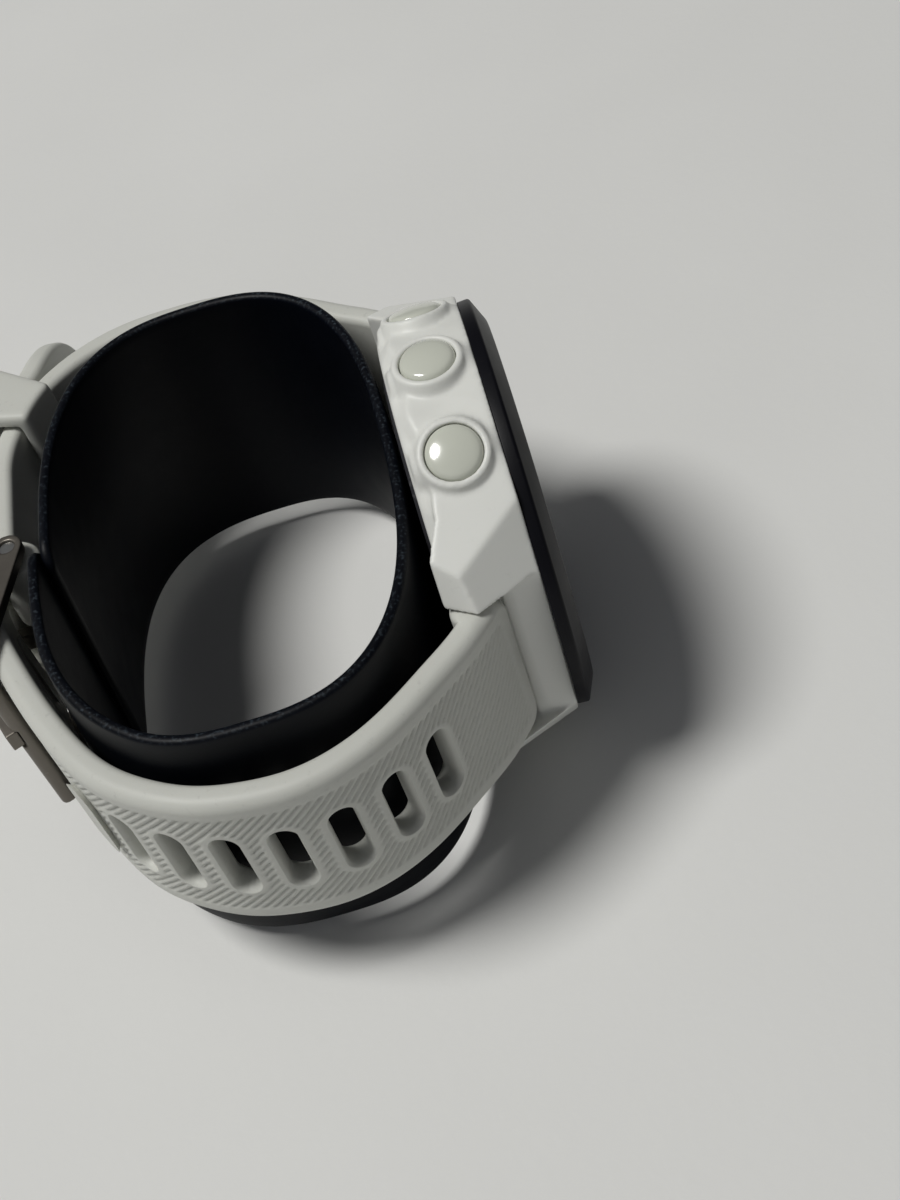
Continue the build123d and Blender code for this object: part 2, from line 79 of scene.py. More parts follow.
# Driving sizes in millimetres and angles in degrees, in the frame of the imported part.
BAR_X, BAR_Y = 2.6, 22.0                # spring bars
STRAP_T, STRAP_HALF = 3.0, 10.9         # thickness and half width of a strap
LOOP_X, LOOP_Y = -26.8, 18.4            # centre of the arc that both straps share
SHORT_R, TAIL_R = 20.3, 23.6            # middle line of each strap round that centre
TAIL_ARC_END = 137.5
PIN_X, PIN_Y, BARREL_R = -45.6, 4.2, 2.9
BARREL_REACH = 3.0                      # the barrel starts this far from the pin
FIRST_SLOT, SLOT_PITCH, SLOT_COUNT = 12.2, 5.75, 16
SLOT_STRAIGHT, SLOT_R = 3.5, 1.35
NOSE_R, NOSE_FLAT, NOSE_TURN = 2.85, 2.0, -36
NOSE_LENGTH = 2.7                       # strap that is built together with the nose
RIB_PITCH, RIB_DEPTH, RIB_WIDTH = 1.06, 0.27, 0.17
BORDER = 2.3                            # plain border beside the ribs
END_CORNER = 1.3                        # corners of a strap's end at the case
TIP_THIN = 1.2                          # the tail's last stretch, which thins to nothing
OUTER_ROUND, INNER_ROUND = 1.35, 0.9    # long edges of the strap
BUTTON_X = 4.95
BUTTONS = {"button_upper_left": -27.75, "button_middle_left": 0, "button_lower_left": 27.75,
           "button_upper_right": 207.75, "button_lower_right": 152.25}
CASE_TOP = 9.7
CUFF_X, CUFF_A, CUFF_B = -21.0, 19.3, 32.1
CUFF_POWER, CUFF_T = 2.7, 1.25
CUFF_INNER_END, CUFF_OUTER_END = 2.0, 0.9
CUFF_LEAN = 2.1                         # how far the foot of the cuff stands away from the case


# ---- Mesh helpers -----------------------------------------------------------------------

def add_mesh(name, points, faces, material, smooth_angle=35):
    """A mesh object from points in millimetres."""
    mesh = bpy.data.meshes.new(name)
    mesh.from_pydata((np.asarray(points, float) * MM).tolist(), [], [list(f) for f in faces])
    bm = bmesh.new()
    bm.from_mesh(mesh)
    bmesh.ops.remove_doubles(bm, verts=bm.verts, dist=2e-7)
    bmesh.ops.dissolve_degenerate(bm, edges=bm.edges, dist=1e-7)
    bmesh.ops.recalc_face_normals(bm, faces=bm.faces)
    bm.to_mesh(mesh)
    bm.free()
    mesh.materials.append(material)
    obj = bpy.data.objects.new(name, mesh)
    bpy.context.scene.collection.objects.link(obj)
    shade(obj, smooth_angle)
    return obj


def shade(obj, angle):
    """Smooth shading, with sharp edges above an angle."""
    mesh = obj.data
    mesh.polygons.foreach_set("use_smooth", [True] * len(mesh.polygons))
    mesh.set_sharp_from_angle(angle=math.radians(angle))
    mesh.update()


def bake(obj, material, smooth_angle):
    """Applies the modifiers of an object."""
    bpy.context.view_layer.update()
    graph = bpy.context.evaluated_depsgraph_get()
    mesh = bpy.data.meshes.new_from_object(obj.evaluated_get(graph))
    obj.modifiers.clear()
    obj.data = mesh
    mesh.materials.clear()
    mesh.materials.append(material)
    mesh.polygons.foreach_set("material_index", [0] * len(mesh.polygons))
    shade(obj, smooth_angle)


def grid_faces(rows, columns, wrap_rows=False, wrap_columns=False):
    """Quads between rows of points; either direction may close on itself."""
    faces = []
    for i in range(rows if wrap_rows else rows - 1):
        a, b = i * columns, (i + 1) % rows * columns
        for j in range(columns if wrap_columns else columns - 1):
            k = (j + 1) % columns
            faces.append((a + j, b + j, b + k, a + k))
    return faces


def soften(node, name, material, voxel, passes):
    """A moulded copy of a CAD node, whose edges are rounded."""
    source = nodes[node]
    mesh = source.data.copy()
    mesh.transform(Matrix.Scale(1 / MM, 4))
    obj = bpy.data.objects.new(name, mesh)
    bpy.context.scene.collection.objects.link(obj)
    weld = obj.modifiers.new("weld", "WELD")
    weld.merge_threshold = 0.0005
    remesh = obj.modifiers.new("remesh", "REMESH")
    remesh.mode = "VOXEL"
    remesh.voxel_size = voxel
    smooth = obj.modifiers.new("smooth", "SMOOTH")
    smooth.factor = 0.5
    smooth.iterations = passes
    bake(obj, material, 60)
    obj.data.transform(Matrix.Scale(MM, 4))
    obj.data.update()
    stand_in(obj, node, source["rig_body"])
    return obj


def stand_in(obj, node, body):
    """Puts a piece in the place of a CAD node."""
    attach(obj, body)
    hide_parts(node)


def lathe(name, profile, place, material, steps=96):
    """Closed outline of (along, radius) turned about the local Z axis of a placement."""
    points = []
    for i in range(steps):
        turn = 2 * math.pi * i / steps
        for along, radius in profile:
            points.append(place @ Vector((radius * math.cos(turn), radius * math.sin(turn), along)))
    faces = grid_faces(steps, len(profile), wrap_rows=True, wrap_columns=True)
    return add_mesh(name, [tuple(p) for p in points], faces, material, 50)


def rounded(outline, radius, steps=5):
    """Closed outline with each corner rounded; a corner is (x, y) or (x, y, own radius)."""
    result = []
    count = len(outline)
    for i, corner in enumerate(outline):
        here = np.array(corner[:2], float)
        own = corner[2] if len(corner) > 2 else radius
        if own <= 0:
            result.append(tuple(here))
            continue
        before = np.array(outline[i - 1][:2], float) - here
        after = np.array(outline[(i + 1) % count][:2], float) - here
        reach = min(own, 0.45 * np.hypot(*before), 0.45 * np.hypot(*after))
        a = here + before / np.hypot(*before) * reach
        b = here + after / np.hypot(*after) * reach
        for t in np.linspace(0, 1, steps + 1):
            result.append(tuple((1 - t) ** 2 * a + 2 * t * (1 - t) * here + t * t * b))
    return result


def spline(points, ends=None, steps=40):
    """Smooth curve through points; ends may give the directions at both ends."""
    p = np.array(points, float)
    h = np.hypot(*np.diff(p, axis=0).T)
    n = len(p)
    a, b = np.zeros((n, n)), np.zeros((n, 2))
    a[0, 0] = a[-1, -1] = 1
    if ends:
        first, last = (np.array(e) / np.hypot(*e) for e in ends)
        a[0, :2] = 2 * h[0], h[0]
        b[0] = 6 * ((p[1] - p[0]) / h[0] - first)
        a[-1, -2:] = h[-1], 2 * h[-1]
        b[-1] = 6 * (last - (p[-1] - p[-2]) / h[-1])
    for i in range(1, n - 1):
        a[i, i - 1:i + 2] = h[i - 1], 2 * (h[i - 1] + h[i]), h[i]
        b[i] = 6 * ((p[i + 1] - p[i]) / h[i] - (p[i] - p[i - 1]) / h[i - 1])
    m = np.linalg.solve(a, b)
    curve = []
    for i in range(n - 1):
        for t in np.linspace(0, 1, steps, endpoint=False):
            s = 1 - t
            bend = (s ** 3 - s) * m[i] + (t ** 3 - t) * m[i + 1]
            curve.append(s * p[i] + t * p[i + 1] + bend * h[i] ** 2 / 6)
    return np.array(curve + [p[-1]])


def arc(x, y, radius, start, stop, steps=80):
    t = np.radians(np.linspace(start, stop, steps))
    return np.stack([x + radius * np.cos(t), y + radius * np.sin(t)], 1)


def smoothstep(x, low, high):
    t = np.clip((np.asarray(x, float) - low) / (high - low), 0, 1)
    return t * t * (3 - 2 * t)


class Path:
    """Curve in the XY plane that is read by its length."""

    def __init__(self, *pieces):
        p = np.concatenate([pieces[0]] + [q[1:] for q in pieces[1:]])
        self.p = p
        self.s = np.concatenate([[0], np.cumsum(np.hypot(*np.diff(p, axis=0).T))])
        self.length = self.s[-1]

    def at(self, s):
        return np.stack([np.interp(s, self.s, self.p[:, k]) for k in (0, 1)], -1)

    def along(self, s, reach=0.4):
        d = self.at(np.minimum(s + reach, self.length)) - self.at(np.maximum(s - reach, 0))
        return d / np.hypot(d[..., 0], d[..., 1])[..., None]


def resample(polyline, count):
    """The given number of points, evenly spaced along a line."""
    p = np.array(polyline, float)
    s = np.concatenate([[0], np.cumsum(np.hypot(*np.diff(p, axis=0).T))])
    t = np.linspace(0, s[-1], count)
    return np.stack([np.interp(t, s, p[:, k]) for k in (0, 1)], 1)


# ---- Materials --------------------------------------------------------------------------

def material(name, color, rough, metal=0.0, shift=0.04, shift_scale=90, grain=0.0, grain_scale=2500,
             rough_shift=0.06, coat=0.0, subsurface=0.0, specular=0.5, dust=0.0, dust_color=None,
             stretch=(1, 1, 1)):
    """Principled material with drifting colour and roughness, a fine grain and pale dust."""
    mat = bpy.data.materials.new(name)
    mat.use_nodes = True
    tree = mat.node_tree
    new, link = tree.nodes.new, tree.links.new
    bsdf = tree.nodes["Principled BSDF"]
    place = new("ShaderNodeTexCoord")
    scale = new("ShaderNodeMapping")
    scale.inputs["Scale"].default_value = stretch
    link(place.outputs["Object"], scale.inputs["Vector"])

    def noise(size, detail=3.0, place=scale.outputs["Vector"]):
        node = new("ShaderNodeTexNoise")
        node.inputs["Scale"].default_value = size
        node.inputs["Detail"].default_value = detail
        link(place, node.inputs["Vector"])
        return node

    drift = noise(shift_scale)
    ramp = new("ShaderNodeValToRGB")
    ramp.color_ramp.elements[0].position = 0.3
    ramp.color_ramp.elements[1].position = 0.7
    for element, gain in zip(ramp.color_ramp.elements, (1 - shift, 1 + shift)):
        element.color = [min(1, c * gain) for c in color] + [1]
    link(drift.outputs["Fac"], ramp.inputs["Fac"])
    tint = ramp.outputs["Color"]
    if dust > 0:
        specks = noise(1400, 6.0, place.outputs["Object"])
        level = new("ShaderNodeMapRange")
        level.inputs["From Min"].default_value = 0.62
        level.inputs["From Max"].default_value = 0.75
        level.inputs["To Max"].default_value = dust
        link(specks.outputs["Fac"], level.inputs["Value"])
        mix = new("ShaderNodeMix")
        mix.data_type = "RGBA"
        link(level.outputs["Result"], mix.inputs["Factor"])
        link(tint, mix.inputs[6])
        mix.inputs[7].default_value = list(dust_color or (0.5, 0.5, 0.5)) + [1]
        tint = mix.outputs[2]
    link(tint, bsdf.inputs["Base Color"])
    sheen = new("ShaderNodeMapRange")
    sheen.inputs["To Min"].default_value = max(0.02, rough - rough_shift)
    sheen.inputs["To Max"].default_value = min(1, rough + rough_shift)
    link(noise(shift_scale * 4).outputs["Fac"], sheen.inputs["Value"])
    link(sheen.outputs["Result"], bsdf.inputs["Roughness"])
    if grain > 0:
        bump = new("ShaderNodeBump")
        bump.inputs["Strength"].default_value = 1.0
        bump.inputs["Distance"].default_value = grain * MM
        link(noise(grain_scale, 2.0).outputs["Fac"], bump.inputs["Height"])
        link(bump.outputs["Normal"], bsdf.inputs["Normal"])
    bsdf.inputs["Metallic"].default_value = metal
    bsdf.inputs["Specular IOR Level"].default_value = specular
    bsdf.inputs["Coat Weight"].default_value = coat
    bsdf.inputs["Coat Roughness"].default_value = 0.08
    if subsurface > 0:
        bsdf.inputs["Subsurface Weight"].default_value = subsurface
        bsdf.inputs["Subsurface Radius"].default_value = (0.8, 0.75, 0.65)
        bsdf.inputs["Subsurface Scale"].default_value = 0.0008
    return mat


SILICONE = material("strap_silicone", (0.57, 0.575, 0.535), 0.5, shift=0.03, shift_scale=60,
                    grain=0.012, grain_scale=6000, subsurface=0.15, specular=0.35,
                    dust=0.25, dust_color=(0.33, 0.33, 0.31))
POLYMER = material("case_polymer", (0.73, 0.735, 0.7), 0.42, shift=0.02, shift_scale=50,
                   grain=0.006, grain_scale=5000, subsurface=0.1, specular=0.4,
                   dust=0.1, dust_color=(0.45, 0.45, 0.42))
BUTTON = material("button_gloss", (0.6, 0.615, 0.54), 0.16, shift=0.015,
                  grain=0.003, grain_scale=900, coat=0.6, rough_shift=0.03)
BEZEL = material("bezel_black", (0.004, 0.004, 0.006), 0.4, shift=0.2,
                 grain=0.006, grain_scale=5000, specular=0.12,
                 dust=0.08, dust_color=(0.05, 0.05, 0.05))
SHEET = material("cuff_sheet", (0.0012, 0.0019, 0.0042), 0.46, shift=0.25, shift_scale=70,
                 grain=0.012, grain_scale=3500, specular=0.14,
                 dust=0.06, dust_color=(0.02, 0.025, 0.035))
BUCKLE = material("buckle_metal", (0.17, 0.155, 0.135), 0.42, metal=0.85, shift=0.12,
                  grain=0.01, grain_scale=2200, dust=0.15, dust_color=(0.3, 0.28, 0.25))


# ---- Straps -----------------------------------------------------------------------------

TAIL_ARC = arc(LOOP_X, LOOP_Y, TAIL_R, 180, TAIL_ARC_END)
LONG_PATH = Path(
    spline([(3.0, -22.3), (0.7, -25.0), (-3.1, -28.3), (-9.1, -32.9), (-14.3, -35.4),
            (-18.9, -36.3), (-23.8, -36.0), (-28.3, -34.9), (-33.1, -32.4),
            (-37.4, -28.8), (-40.9, -23.8), (-43.8, -18.0), (-46.8, -10.5), (-49.1, -3.5),
            (-50.2, 2.5), (LOOP_X - TAIL_R, 8.5)]),
    np.array([(LOOP_X - TAIL_R, 8.5), (LOOP_X - TAIL_R, LOOP_Y)]),
    TAIL_ARC,
    spline([TAIL_ARC[-1], (-42.2, 38.0), (-40.4, 47.0)], ends=[(0.676, 0.737), (0.1, 0.99)]))
SHORT_PATH = Path(
    spline([(3.0, 22.3), (1.0, 25.2), (-3.2, 28.8), (-8.7, 33.2), (-14.5, 36.6), (-20.4, 38.4),
            (LOOP_X, LOOP_Y + SHORT_R)], ends=[(-0.6, 0.8), (-1, 0)]),
    arc(LOOP_X, LOOP_Y, SHORT_R, 90, 180),
    np.array([(LOOP_X - SHORT_R, LOOP_Y), (LOOP_X - SHORT_R, PIN_Y)]))
SLOTS = FIRST_SLOT + SLOT_PITCH * np.arange(SLOT_COUNT)


def nose_rows(side, outer_path, step):
    """Outer and inner points round the spring bar, from the rounded end to the strap."""
    bar = np.array([BAR_X, side * BAR_Y])
    turn = math.radians(NOSE_TURN)
    e1 = np.array([math.cos(turn), -side * math.sin(turn)])
    e2 = np.array([math.sin(-turn), -side * math.cos(turn)])
    half = math.sqrt(NOSE_R ** 2 - NOSE_FLAT ** 2)
    start = (outer_path(0.0) - bar) @ e2
    s = np.arange(NOSE_LENGTH - step, -(half - start) + 0.1, -step)
    flat = [outer_path(v) if v > 0 else bar + NOSE_FLAT * e1 + (start - v) * e2 for v in s]
    corner = bar + NOSE_FLAT * e1 + half * e2
    low = math.degrees(math.atan2(corner[1] - bar[1], corner[0] - bar[0]))
    high = -side * 205.0
    middle = (low + high) / 2
    round_rows = 14
    tip = resample(arc(*bar, NOSE_R, low - side * 3, middle, 30), round_rows)
    outer = np.concatenate([np.array(flat), tip])
    inner = resample(arc(*bar, NOSE_R, high, middle, 60), len(outer))
    along = np.concatenate([s, s[-1] - 0.25 * np.arange(1, round_rows + 1)])
    return outer[::-1], inner[::-1], along[::-1], s[-1]


def band(name, path, side, mat, slots=(), tail=False):
    """Closed moulded strap whose outer side has fine slanted ribs."""
    step = 0.21 if tail else 0.25
    end = path.length - (0 if tail else BARREL_REACH)
    s = np.arange(NOSE_LENGTH, end, step)
    if tail:
        close = path.length - np.array([0.16, 0.11, 0.07, 0.04, 0.015, 0.0])
        s = np.concatenate([s[s < close[0] - 0.05], close])
    middle, along = path.at(s), path.along(s)
    out = np.stack([-along[:, 1], along[:, 0]], 1) * (1 if side < 0 else -1)
    thick = np.full(len(s), STRAP_T / 2)
    width = np.full(len(s), STRAP_HALF)
    if tail:
        left = path.length - s
        inside = np.clip(STRAP_HALF - left, 0, None)
        round_end = np.sqrt(np.clip(STRAP_HALF ** 2 - inside ** 2, 1e-4, None))
        width = np.where(left < STRAP_HALF, round_end, width)
        thin_end = STRAP_T / 2 * np.sqrt(np.clip(1 - (1 - left / TIP_THIN) ** 2, 1e-4, None))
        thick = np.where(left < TIP_THIN, thin_end, thick)
    outer, inner = middle + out * thick[:, None], middle - out * thick[:, None]

    def outer_at(v):
        d = path.along(v)
        return path.at(v) + np.array([-d[1], d[0]]) * (-side) * STRAP_T / 2

    nose_out, nose_in, nose_s, end_s = nose_rows(side, outer_at, step)
    bend = np.clip(END_CORNER - (nose_s - end_s), 0, END_CORNER)
    nose_w = STRAP_HALF - END_CORNER + np.sqrt(END_CORNER ** 2 - bend ** 2)
    rows_o, rows_i = [nose_out, outer], [nose_in, inner]
    rows_s, rows_w = [nose_s, s], [nose_w, width]
    if not tail:
        steps = 30
        barrel_o = np.concatenate([np.array([[PIN_X - BARREL_R - 0.1, PIN_Y + BARREL_REACH]]),
                                   arc(PIN_X, PIN_Y, BARREL_R + 0.02, 180, 315, 40)])
        barrel_i = arc(PIN_X, PIN_Y, BARREL_R, 90, -45, 40)
        rows_o.append(resample(barrel_o, steps)[1:])
        rows_i.append(resample(barrel_i, steps)[1:])
        rows_s.append(end + np.arange(1, steps) * 0.3)
        rows_w.append(np.full(steps - 1, STRAP_HALF))
    o, i = np.concatenate(rows_o), np.concatenate(rows_i)
    s_all, w_all = np.concatenate(rows_s), np.concatenate(rows_w)
    rows = len(o)
    radius_o = np.minimum(OUTER_ROUND, w_all * 0.6)
    radius_i = np.minimum(INNER_ROUND, w_all * 0.4)
    gap = np.hypot(*(o - i).T)
    fit = np.clip(gap / STRAP_T, 0, 1)
    bends = 6
    turns = [math.pi / 2 * k / bends for k in range(bends + 1)]

    def outer_edge(turn, sign):
        level = 1 - OUTER_ROUND / STRAP_T * (1 - math.cos(turn))
        return sign * (w_all - radius_o + radius_o * math.sin(turn)), level * np.ones(rows)

    def inner_edge(turn, sign):
        level = INNER_ROUND / STRAP_T * (1 - math.sin(turn))
        return sign * (w_all - radius_i + radius_i * math.cos(turn)), level * np.ones(rows)

    # One loop round the section: outer side, edge, inner side, edge.
    loop = [(t * (w_all - radius_o), np.ones(rows)) for t in np.linspace(-1, 1, 104 if tail else 88)]
    loop += [outer_edge(turn, 1) for turn in turns[1:]]
    loop += [inner_edge(turn, 1) for turn in turns[:-1]]
    loop += [(t * (w_all - radius_i), np.zeros(rows)) for t in np.linspace(1, -1, 14)]
    loop += [inner_edge(turn, -1) for turn in turns[-2::-1]]
    loop += [outer_edge(turn, -1) for turn in turns[:0:-1]]
    z = np.stack([place[0] for place in loop], 1)
    level = np.stack([place[1] for place in loop], 1)
    outward = (o - i) / np.maximum(gap, 1e-6)[:, None]
    height = ribs(s_all[:, None], z, w_all[:, None], path.length, slots) * (level > 0.999)
    xy = i[:, None, :] + (o - i)[:, None, :] * level[..., None]
    xy = xy + outward[:, None, :] * (height * fit[:, None])[..., None]
    points = np.concatenate([xy, z[..., None]], 2)
    faces = grid_faces(rows, z.shape[1], wrap_columns=True)
    return add_mesh(name, points.reshape(-1, 3), faces, mat, 50)


def ribs(s, z, half, length, slots):
    """Depth of the fine slanted grooves; they fade out at the borders and round each slot."""
    phase = (s + z) / RIB_PITCH
    off = np.abs(phase - np.round(phase)) * RIB_PITCH / math.sqrt(2)
    groove = np.exp(-(off / RIB_WIDTH) ** 2)
    mask = smoothstep(half - BORDER - np.abs(z), 0, 0.5) * smoothstep(s, -0.9, -0.2)
    mask = mask * smoothstep(length - s, 3.0, 4.0)
    for at in slots:
        side = np.maximum(np.abs(z) - SLOT_STRAIGHT, 0)
        away = np.sqrt((s - at) ** 2 + side ** 2) - SLOT_R
        mask = mask * smoothstep(away, 0.75, 1.15)
    return -RIB_DEPTH * groove * mask


def cut(obj, cutter, mat):
    """Takes the cutter's space out of an object, and deletes the cutter."""
    modifier = obj.modifiers.new("cut", "BOOLEAN")
    modifier.operation = "DIFFERENCE"
    modifier.solver = "EXACT"
    modifier.object = cutter
    bake(obj, mat, 50)
    bpy.data.objects.remove(cutter)


def slot_cutter(path):
    """One long rounded slot per place, flared at both faces so that its rims are soft."""
    layers = [(0.5, 0.9), (0.16, 0.52), (-0.02, 0.36), (-0.18, 0.22), (-0.4, 0.09), (-0.75, 0.0),
              (-2.3, 0.0), (-2.65, 0.08), (-2.88, 0.24), (-3.05, 0.44), (-3.4, 0.8)]
    points, faces = [], []
    for at in SLOTS:
        centre, along = path.at(at), path.along(at, 1.6)
        out = np.array([-along[1], along[0]])
        outer = centre + out * STRAP_T / 2
        base = len(points)
        steps = 12
        for height, grow in layers:
            for half in (1, -1):
                for k in range(steps + 1):
                    a = math.pi * k / steps + (0 if half > 0 else math.pi)
                    u = (SLOT_R + grow) * math.cos(a)
                    v = (SLOT_R + grow) * math.sin(a) + half * SLOT_STRAIGHT
                    x, y = outer + along * u + out * height
                    points.append((x, y, v))
        ring = 2 * (steps + 1)
        sides = grid_faces(len(layers), ring, wrap_columns=True)
        faces += [tuple(base + i for i in face) for face in sides]
        faces.append(tuple(base + k for k in range(ring)))
        faces.append(tuple(base + (len(layers) - 1) * ring + k for k in range(ring)))
    return add_mesh("slot_cutter", points, faces, SILICONE)


def block_cutter(low, high, radius):
    """Box with its edges along X rounded."""
    (x0, y0, z0), (x1, y1, z1) = low, high
    outline = rounded([(y0, z0), (y1, z0), (y1, z1), (y0, z1)], radius)
    n = len(outline)
    points = [(x, y, z) for x in (x0, x1) for y, z in outline]
    faces = [(k, (k + 1) % n, n + (k + 1) % n, n + k) for k in range(n)]
    faces += [tuple(range(n)), tuple(range(2 * n - 1, n - 1, -1))]
    return add_mesh("block_cutter", points, faces, SILICONE)


strap_long = band("slotted_strap", LONG_PATH, -1, SILICONE, SLOTS, tail=True)
cut(strap_long, slot_cutter(LONG_PATH), SILICONE)
strap_short = band("buckle_strap", SHORT_PATH, 1, SILICONE)
tongue_gap = block_cutter((-60, PIN_Y - 5, -2.3), (-38, 13.2, 2.3), 1.2)
cut(strap_short, tongue_gap, SILICONE)
stand_in(strap_long, "strap_long", "long_strap")
stand_in(strap_short, "strap_short", "short_strap")


# ---- Case, bezel and buttons ------------------------------------------------------------

def tighten_collar(points, turn):
    """Draws the collar in close round its button; points change in place."""
    axis = np.array([0, -math.sin(turn), math.cos(turn)])
    along = points @ axis
    side = points - along[:, None] * axis - np.array([BUTTON_X, 0, 0])
    radius = np.linalg.norm(side, axis=1)
    reach = 6.4
    wanted = np.interp(radius, (0, 3.2, 3.45, 4.1, 5.2, reach), (0, 2.97, 3.1, 3.7, 4.7, reach))
    from_rims = np.minimum(CASE_TOP - 0.1 - points[:, 0], points[:, 0] - 0.2)
    shift = (wanted / np.maximum(radius, 0.1) - 1) * smoothstep(along, 20.6, 22.4) * (radius < reach)
    shift *= smoothstep(from_rims, 0, 0.5)
    points += side * shift[:, None]


def press_crease(points):
    """Sinks the back part of both flat faces between the horns; points change in place."""
    x, y, z = points.T
    on_face = (np.abs(y) > 20.2) & (np.abs(y) < 21.2)
    in_bounds = (np.abs(z) < 10.6) & (x > 0.3) & (x < CASE_TOP - 0.05)
    sink = 0.28 * (1 - smoothstep(x, 5.6, 6.8)) * smoothstep(10.6 - np.abs(z), 0, 2)
    points[:, 1] -= np.where(on_face & in_bounds, np.sign(y) * sink, 0)


case = soften("case_body", "moulded_case", POLYMER, 0.22, 10)
skin = np.zeros(len(case.data.vertices) * 3)
case.data.vertices.foreach_get("co", skin)
skin = skin.reshape(-1, 3) / MM
press_crease(skin)
for angle in BUTTONS.values():
    tighten_collar(skin, math.radians(angle))
case.data.vertices.foreach_set("co", (skin * MM).ravel())
case.data.update()

# Turns an outline about +X, the axis of the dial.
DIAL_AXIS = Matrix(((0, 0, 1, 0), (1, 0, 0, 0), (0, 1, 0, 0), (0, 0, 0, 1)))
bezel_outline = [(9.3, 18.75), (9.3, 19.15), (9.7, 19.15), (9.7, 23.42, 0.12), (11.05, 23.5, 0.3),
                 (12.3, 20.65, 0.25), (12.3, 19.55, 0.15), (10.4, 19.5), (10.4, 18.2), (9.7, 18.2),
                 (9.7, 18.75)]
bezel = lathe("bezel_ring", rounded(bezel_outline, 0.05), DIAL_AXIS, BEZEL, 256)
stand_in(bezel, "bezel", "case")

cap_top = [(24.88 - 0.3 * (r / 2.45) ** 2, r) for r in (0, 0.5, 1.0, 1.5, 2.0, 2.45)]
cap_edge = [(24.44, 2.73), (24.24, 2.88), (24.0, 2.97), (23.75, 2.99), (23.56, 2.96), (23.5, 2.88)]
stem = [(23.5, 1.0), (20.45, 1.0), (20.45, 0.7), (20.15, 0.7), (20.15, 1.0), (19.95, 1.0),
        (19.9, 0.95), (19.9, 0)]
for name, angle in BUTTONS.items():
    place = Matrix.Translation((BUTTON_X, 0, 0)) @ Matrix.Rotation(math.radians(angle), 4, "X")
    cap = lathe(name + "_cap", cap_top + cap_edge + stem, place, BUTTON, 72)
    stand_in(cap, name, name)


# ---- Display cuff -----------------------------------------------------------------------

def squircle(turn):
    """Middle line of the cuff and its outward direction at each angle."""
    c, s = np.cos(turn), np.sin(turn)
    d = np.stack([np.sign(v) * np.abs(v) ** (2 / CUFF_POWER) for v in (c, s)], 1)
    n = np.sign(d) * np.abs(d) ** (CUFF_POWER - 1) / np.array([CUFF_A, CUFF_B])
    n /= np.hypot(n[:, 0], n[:, 1])[:, None]
    return np.array([CUFF_X, 0]) + d * np.array([CUFF_A, CUFF_B]), n


def end_angle(reach):
    """Angle on the cuff's outline at a distance in Y from its middle."""
    return math.asin((reach / CUFF_B) ** (CUFF_POWER / 2))


def cuff():
    """Springy open sleeve; its outer end overlaps the inner one."""
    low, high = (corner.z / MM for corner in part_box("display_cuff"))
    edge_round, corner_round = 0.5, 3.0
    overlap = math.radians(60)
    first = math.pi + end_angle(CUFF_INNER_END)
    last = -math.pi - end_angle(CUFF_OUTER_END)
    t = first + (last - first) * np.linspace(0, 1, 300)
    middle, n = squircle(t)
    late = np.clip((last + overlap - t) / (overlap * 0.75), 0, 1)
    lift = (CUFF_T + 0.2) * late * late * (3 - 2 * late)
    middle = middle + n * lift[:, None]
    run = np.concatenate([[0], np.cumsum(np.hypot(*np.diff(middle, axis=0).T))])
    close = np.array([0, 0.05, 0.14, 0.3])
    even = np.concatenate([close, np.linspace(0.5, run[-1] - 0.5, 420), run[-1] - close[::-1]])
    middle = np.stack([np.interp(even, run, middle[:, k]) for k in (0, 1)], 1)
    n = np.stack([np.interp(even, run, n[:, k]) for k in (0, 1)], 1)
    edge = np.minimum(even, run[-1] - even)
    half = CUFF_T / 2 * np.sqrt(np.clip(1 - (1 - np.clip(edge / 0.5, 0, 1)) ** 2, 1e-3, 1))
    loop = []
    for sign in (1, -1):
        rim = high - edge_round if sign > 0 else low + edge_round
        loop += [(z, sign) for z in np.linspace(low + edge_round, high - edge_round, 36)[::sign]]
        for a in (math.pi / 8 * k for k in range(1, 8)):
            loop.append((rim + sign * edge_round * math.sin(a), sign * math.cos(a)))
    zs, side = np.array(loop).T
    inset = np.clip(corner_round - edge, 0, corner_round)
    corner = corner_round - np.sqrt(np.clip(corner_round ** 2 - inset ** 2, 0, None))
    centre = (high + low) / 2
    z = centre + (zs - centre)[None, :] * (1 - corner / (high - centre))[:, None]
    xy = middle[:, None, :] + n[:, None, :] * (half[:, None] * side[None, :])[..., None]
    foot = (high - z) / (high - low)
    xy[..., 0] -= CUFF_LEAN * foot * smoothstep(CUFF_X - xy[..., 0], 0, CUFF_A)
    points = np.concatenate([xy, z[..., None]], 2)
    faces = grid_faces(len(points), len(zs), wrap_columns=True)
    return add_mesh("cuff_sheet_sleeve", points.reshape(-1, 3), faces, SHEET, 50)


stand_in(cuff(), "display_cuff", "cuff")


# ---- Keeper and buckle ------------------------------------------------------------------

soften("strap_keeper", "keeper_loop", SILICONE, 0.2, 30)
soften("buckle_frame", "buckle_bow", BUCKLE, 0.13, 6)
soften("buckle_tongue", "buckle_hook", BUCKLE, 0.11, 6)


# ---- Finishes of the CAD nodes that stay ------------------------------------------------

